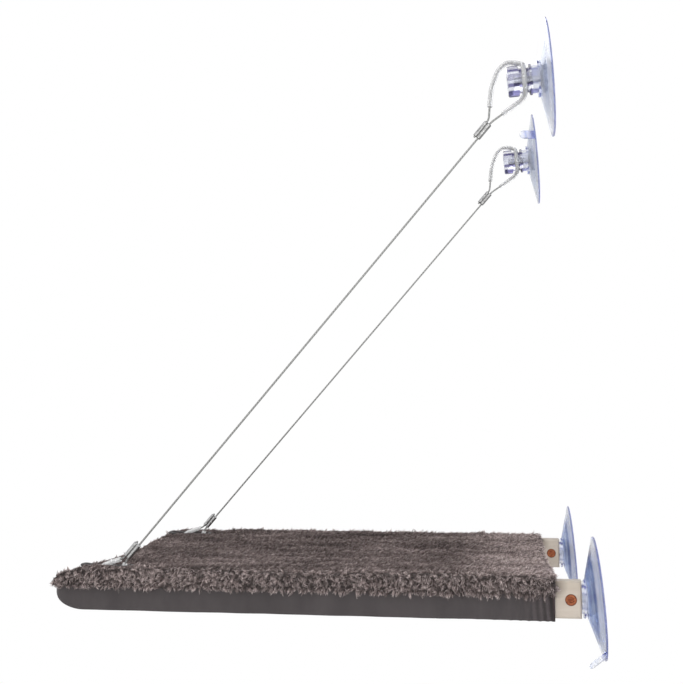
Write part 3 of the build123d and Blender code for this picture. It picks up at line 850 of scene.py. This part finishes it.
# Plush backing: swollen and rumpled by a cloth simulation
def swell(o, pin, pressure, grow, cap, steps=16):
    """Blows a cloth up, held where pin is true. No point moves further than cap."""
    start = coords(o.data)
    held = o.vertex_groups.new(name="held")
    held.add(np.flatnonzero(pin).tolist(), 1.0, "REPLACE")
    cloth = o.modifiers.new("cloth", "CLOTH")
    c = cloth.settings
    c.quality = 5
    c.mass = 0.2
    c.tension_stiffness = c.compression_stiffness = 12
    c.shear_stiffness = 6
    c.bending_stiffness = 0.4
    c.use_pressure = True
    c.uniform_pressure_force = pressure
    c.effector_weights.gravity = 0
    c.shrink_min = -grow
    c.vertex_group_mass = "held"
    cloth.collision_settings.use_collision = False
    for f in range(1, steps + 1):
        scene.frame_set(f)
    ended = o.evaluated_get(bpy.context.evaluated_depsgraph_get())
    move = coords(ended.data) - start
    o.modifiers.clear()
    scene.frame_set(1)
    far = np.linalg.norm(move, axis=1, keepdims=True)
    set_coords(o.data, start + move * np.minimum(1, cap / np.maximum(far, 1e-9)))


CORE_LOW, CORE_HIGH = [-0.165, -0.505, 0.0], [0.165, -0.045, 0.0]


def outward(p):
    """From the flat core of the bed out to bed points."""
    return unit(p - np.clip(p, CORE_LOW, CORE_HIGH))


PLUSH_GRID = [(0, -0.1848, 0.185, 0.0077), (1, -0.5262, -0.028, 0.0077), (2, 0.0065, 0.0215, 0.004)]
PLUSH_SUNK = 0.0019


def make_plush():
    o = gridded_copy("plush_cover", "plush_back", PLUSH_GRID)
    q = to_bed(coords(o.data))
    n = vertex_normals(o.data) @ BED_AXES.T
    inner = (n * outward(q)).sum(1) < 0.25
    swell(o, inner, pressure=3.0, grow=0.01, cap=0.0015)
    q = to_bed(coords(o.data))
    # the pile stands on it, so the outer skin starts below the CAD surface
    lumps = 0.0006 * waves(q, 0.055, 21) + 0.0003 * waves(q, 0.024, 22)
    sunk = np.where(inner, 0.0, lumps - PLUSH_SUNK)
    q += (n * sunk[:, None]) * ease((0.3 + (n * outward(q)).sum(1)) / 0.8)[:, None]
    q[:, 2] -= slack(q)
    set_coords(o.data, from_bed(q))
    dress(o, plush_backing())
    return o


plush = make_plush()
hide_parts("plush_cover")
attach(plush, "perch")


# The pile itself: clumps of tapered ribbons that stand on the backing, all in bed coordinates
BARE_BY_SLOT = 0.0028
TOP_LENGTH, RIM_EXTRA = 0.0044, 0.0012
RIM_X, RIM_FRONT, CREST_X, CREST_HALF = 0.1785, -0.513, 0.181, 0.005
SKIRT_START, SKIRT_RUN = 0.1775, 0.004
ROOT_DEPTH, TIP_SCATTER = 0.0008, 0.0006


def root_points(mesh, spacing, seed):
    """Roots spread over the outer skin, with the skin's normals."""
    rng = np.random.default_rng(seed)
    p = to_bed(coords(mesh))
    n = vertex_normals(mesh) @ BED_AXES.T
    t = triangles(mesh)
    a, b, c = p[t[:, 0]], p[t[:, 1]], p[t[:, 2]]
    face = unit(np.cross(b - a, c - a))
    area = np.linalg.norm(np.cross(b - a, c - a), axis=1) / 2
    keep = (face * outward((a + b + c) / 3)).sum(1) > 0.12
    t, area = t[keep], area[keep]
    count = int(area.sum() / spacing**2 * 5)
    pick = rng.choice(len(t), count, p=area / area.sum())
    u, v = rng.random((2, count))
    flip = u + v > 1
    u[flip], v[flip] = 1 - u[flip], 1 - v[flip]
    w = np.stack([1 - u - v, u, v], 1)[:, :, None]
    points = (p[t[pick]] * w).sum(1)
    normals = unit((n[t[pick]] * w).sum(1))
    cell = np.floor(points / spacing).astype(np.int64)
    key = (cell[:, 0] * 4099 + cell[:, 1]) * 4099 + cell[:, 2]
    first = np.unique(key, return_index=True)[1]
    return points[first], normals[first]


def ribbons(root, middle, tip, width, shade, rng):
    """Vertices, faces and shades of tapered ribbons along curves root, middle, tip."""
    count = len(root)
    ts = np.array([0.0, 0.4, 0.78, 1.0])
    taper = np.array([0.8, 1.0, 0.62, 0.0])
    twist = unit(rng.normal(size=(count, 3)))
    verts, shades = [], []
    for t, wide in zip(ts, taper):
        centre = (1 - t) ** 2 * root + 2 * t * (1 - t) * middle + t * t * tip
        along = 2 * (1 - t) * (middle - root) + 2 * t * (tip - middle)
        across = unit(np.cross(along, twist)) * (width * wide / 2)[:, None]
        tone = shade[0] + (shade[1] - shade[0]) * t**1.15
        if wide:
            verts += [centre - across, centre + across]
            shades += [tone, tone]
        else:
            verts.append(centre)
            shades.append(tone)
    verts = np.stack(verts, 1)
    shades = np.stack(shades, 1)
    faces = np.array([[0, 1, 3], [0, 3, 2], [2, 3, 5], [2, 5, 4], [4, 5, 6]])
    index = np.arange(count)[:, None, None] * 7 + faces[None]
    return verts.reshape(-1, 3), index.reshape(-1, 3), shades.ravel()


def triangle_mesh(name, verts, faces, shades):
    mesh = bpy.data.meshes.new(name)
    mesh.vertices.add(len(verts))
    mesh.vertices.foreach_set("co", verts.astype(np.float32).ravel())
    mesh.loops.add(faces.size)
    mesh.loops.foreach_set("vertex_index", faces.astype(np.int32).ravel())
    mesh.polygons.add(len(faces))
    mesh.polygons.foreach_set("loop_start", np.arange(0, faces.size, 3, dtype=np.int32))
    mesh.update(calc_edges=True)
    a = mesh.attributes.new("shade", "FLOAT", "POINT")
    a.data.foreach_set("value", shades.astype(np.float32))
    smooth_shade(mesh)
    return mesh


def from_slot(q):
    """How far bed points are from the nearest slot, seen from above."""
    beside = np.abs(np.abs(q[:, 0]) - SLOT_X) - SLOT_HALF
    beyond = np.maximum(SLOT_FRONT - q[:, 1], q[:, 1] - SLOT_REAR)
    return np.hypot(np.maximum(beside, 0), np.maximum(beyond, 0))


def grow_pile(spacing, per_clump, seed):
    """Roots, middles, tips, widths and tones of the ribbons."""
    rng = np.random.default_rng(seed)
    root, normal = root_points(plush.data, spacing, seed)
    # none on the slots' bindings, and short beside them, where the cables swing
    gap = from_slot(root)
    clear = gap > BARE_BY_SLOT
    root, normal, gap = root[clear], normal[clear], gap[clear]
    count = len(root)
    # skirt is 1 on the hanging rim and 0 on top
    edge = ease((np.abs(root[:, 0]) - SKIRT_START) / SKIRT_RUN)
    skirt = np.maximum(ease(1 - normal[:, 2] * 1.5), edge)
    # combed towards the window on top and downward on the rim, with curls
    down = np.array([0, 0.05, -1.0])
    comb = np.stack([waves(root, 0.07, 31), waves(root, 0.07, 32), 0.1 * waves(root, 0.05, 33)], 1)
    curl = np.stack([waves(root, 0.005, 34), waves(root, 0.005, 35), waves(root, 0.005, 36)], 1)
    flat = [0.0, 1.1, 0.0] + [0.35, 0.5, 0.3] * comb + [0.35, 0.3, 0.3] * curl
    hanging = 0.62 * down + 0.25 * comb + 0.85 * curl
    lean = (1 - skirt)[:, None] * flat + skirt[:, None] * hanging
    lean += 0.22 * rng.normal(size=lean.shape)
    length = (TOP_LENGTH + RIM_EXTRA * skirt) * rng.uniform(0.75, 1.2, count)
    length *= 0.5 + 0.5 * ease((gap - 0.003) / 0.006)
    aim = unit(normal * (0.42 + 0.38 * skirt)[:, None] + lean)
    # painted light: paler on the crest over each rail, on the hanging rim and towards the window; also
    # paler in brushed streaks along the top
    painted_crest_light = np.exp(-(((np.abs(root[:, 0]) - CREST_X) / CREST_HALF) ** 2))
    painted_crest_light = painted_crest_light * ease((root[:, 2] - 0.012) / 0.006)
    rear = ease((root[:, 1] + 0.15) / 0.09)
    streaks = waves(root * [1, 0.25, 1], 0.022, 38)
    tone = 0.245 + 0.31 * skirt + 0.16 * painted_crest_light + 0.32 * (1 - skirt) * rear
    tone += (0.12 + 0.24 * skirt) * rng.normal(size=count) + 0.08 * waves(root, 0.03, 37)
    tone += 0.2 * (1 - skirt) * streaks
    # each clump's ribbons
    k = per_clump
    base = np.repeat(root, k, 0)
    n = np.repeat(normal, k, 0)
    gather = np.repeat(0.62 - 0.4 * skirt, k)[:, None]
    spread = rng.normal(size=base.shape) * spacing * 0.42
    spread -= n * (spread * n).sum(1, keepdims=True)
    own = np.repeat(length, k) * rng.uniform(0.7, 1.15, count * k)
    head = np.repeat(aim, k, 0)
    start = base + spread - n * ROOT_DEPTH
    end = base + spread * gather + head * own[:, None] + rng.normal(size=base.shape) * TIP_SCATTER
    mid = start + (n * 0.8 + head * 0.2) * (own * 0.5)[:, None]
    width = rng.uniform(0.00045, 0.0009, count * k)
    light = np.repeat(tone, k) + 0.14 * rng.normal(size=count * k)
    return start, mid, end, width, light


def make_pile(parts=6):
    """The pile, in strips along x that are small enough to be kept whole when exported."""
    # the hanging rim is denser than the top
    top, rim = grow_pile(0.0027, 6, 51), grow_pile(0.0031, 6, 52)
    hangs = (np.abs(rim[0][:, 0]) > RIM_X) | (rim[0][:, 1] < RIM_FRONT)
    start, mid, end, width, light = (np.concatenate([a, b[hangs]]) for a, b in zip(top, rim))
    bounds = np.quantile(start[:, 0], np.linspace(0, 1, parts + 1))
    material = plush_pile()
    for i in range(parts):
        mine = (start[:, 0] >= bounds[i]) & (start[:, 0] <= bounds[i + 1] + 1e-9)
        rng = np.random.default_rng(60 + i)
        # near black at the root: partly painted shade deep in the pile
        low = np.clip(light[mine] * 0.05, 0, 1)
        high = np.clip(light[mine] + 0.36, 0, 1)
        verts, faces, shades = ribbons(start[mine], mid[mine], end[mine], width[mine], (low, high), rng)
        name = f"plush_pile_{i + 1}"
        o = new_object(name, triangle_mesh(name, from_bed(verts), faces, shades))
        o.data.materials.append(material)
        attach(o, "perch")


make_pile()


# Floor and light
FLOOR_PLACE, FLOOR_HALF = (0, -0.25, -0.42), 6


def make_floor():
    """A floor that looks white to the camera but for the object's shadow."""
    bm = bmesh.new()
    bmesh.ops.create_grid(bm, x_segments=2, y_segments=2, size=FLOOR_HALF)
    mesh = bpy.data.meshes.new("floor")
    bm.to_mesh(mesh)
    bm.free()
    o = new_object("floor", mesh)
    o.location = FLOOR_PLACE
    m, t, s = new_material("floor", Roughness=0.9, Base_Color=(0.86, 0.86, 0.86, 1))
    path = node(t, "LightPath")
    seen = maths(
        t,
        "MAXIMUM",
        path.outputs["Is Camera Ray"],
        maths(t, "MAXIMUM", path.outputs["Is Glossy Ray"], path.outputs["Is Transmission Ray"]),
    )
    far = node(t, "VectorMath", {0: position(t)}, operation="LENGTH").outputs["Value"]
    # the shadow shows under the object and fades into the white further out
    span = {"From Min": 0.4, "From Max": 1.3, "To Min": 0.55, "To Max": 1.0}
    fade = node(t, "MapRange", {"Value": far, **span}).outputs["Result"]
    glow = node(t, "Emission", {"Color": (1, 1, 1, 1), "Strength": 1.0}).outputs["Emission"]
    mixed = node(t, "MixShader", {0: maths(t, "MULTIPLY", seen, fade), 1: s.outputs["BSDF"], 2: glow})
    t.links.new(mixed.outputs["Shader"], t.nodes["Material Output"].inputs["Surface"])
    o.data.materials.append(m)


make_floor()


def make_world():
    """White behind the object, and dark and bright cards that only clear and shiny pieces show."""
    world = bpy.data.worlds.new("studio")
    world.use_nodes = True
    scene.world = world
    t = world.node_tree
    path = node(t, "LightPath")
    shiny = maths(t, "MAXIMUM", path.outputs["Is Glossy Ray"], path.outputs["Is Transmission Ray"])
    direction = node(t, "TexCoord").outputs["Generated"]
    xyz = node(t, "SeparateXYZ", {"Vector": direction})
    height = maths(t, "ABSOLUTE", xyz.outputs["Z"])
    cards = ramp(
        t,
        height,
        (0.0, (1, 1, 1)),
        (0.56, (0.96, 0.96, 0.97)),
        (0.63, (0.10, 0.10, 0.20)),
        (0.71, (0.12, 0.12, 0.22)),
        (0.77, (0.95, 0.95, 0.97)),
        (0.87, (0.95, 0.95, 0.97)),
        (0.94, (0.12, 0.12, 0.22)),
    )
    room = node(t, "Background", {"Color": (1, 1, 1, 1), "Strength": 0.5})
    studio = node(t, "Background", {"Color": cards, "Strength": 1.0})
    white = node(t, "Background", {"Color": (1, 1, 1, 1), "Strength": 1.0})
    inner = node(t, "MixShader", {0: shiny, 1: room.outputs[0], 2: studio.outputs[0]})
    seen = path.outputs["Is Camera Ray"]
    outer = node(t, "MixShader", {0: seen, 1: inner.outputs[0], 2: white.outputs[0]})
    t.links.new(outer.outputs[0], t.nodes["World Output"].inputs["Surface"])


make_world()


def lamp(name, place, aim, size, power):
    light = bpy.data.lights.new(name, "AREA")
    light.shape = "RECTANGLE"
    light.size, light.size_y = size
    light.energy = power
    o = bpy.data.objects.new(name, light)
    scene.collection.objects.link(o)
    o.location = place
    o.rotation_euler = (Vector(aim) - Vector(place)).to_track_quat("-Z", "Y").to_euler()


lamp("key", (1.1, -1.1, 1.9), (0, -0.25, 0.1), (1.6, 1.6), 17)
lamp("fill", (2.0, 0.1, 0.5), (0, -0.2, 0.1), (1.4, 1.4), 20)
lamp("rear", (0.1, 1.1, 1.1), (0, -0.15, 0.0), (1.2, 1.2), 13)
lamp("rim", (-1.2, -0.5, 1.5), (0, -0.25, 0.1), (1.2, 1.2), 8)

# Camera, fitted to the photo's cups, rails, cables and hem: its place in metres, its turns about x, y and
# z in degrees, and its lens and sensor in millimetres
CAMERA_PLACE = (1.22949, -0.08443, 0.18131)
CAMERA_TURNS = (94.437, 4.5243, 97.982)
LENS, SENSOR = 56.74, 36
view = bpy.data.cameras.new("camera")
view.sensor_width = SENSOR
view.lens = LENS
view.clip_start, view.clip_end = 0.05, 50
camera = bpy.data.objects.new("camera", view)
scene.collection.objects.link(camera)
turns = Euler([math.radians(angle) for angle in CAMERA_TURNS])
camera.matrix_world = Matrix.LocRotScale(Vector(CAMERA_PLACE), turns, None)
scene.camera = camera
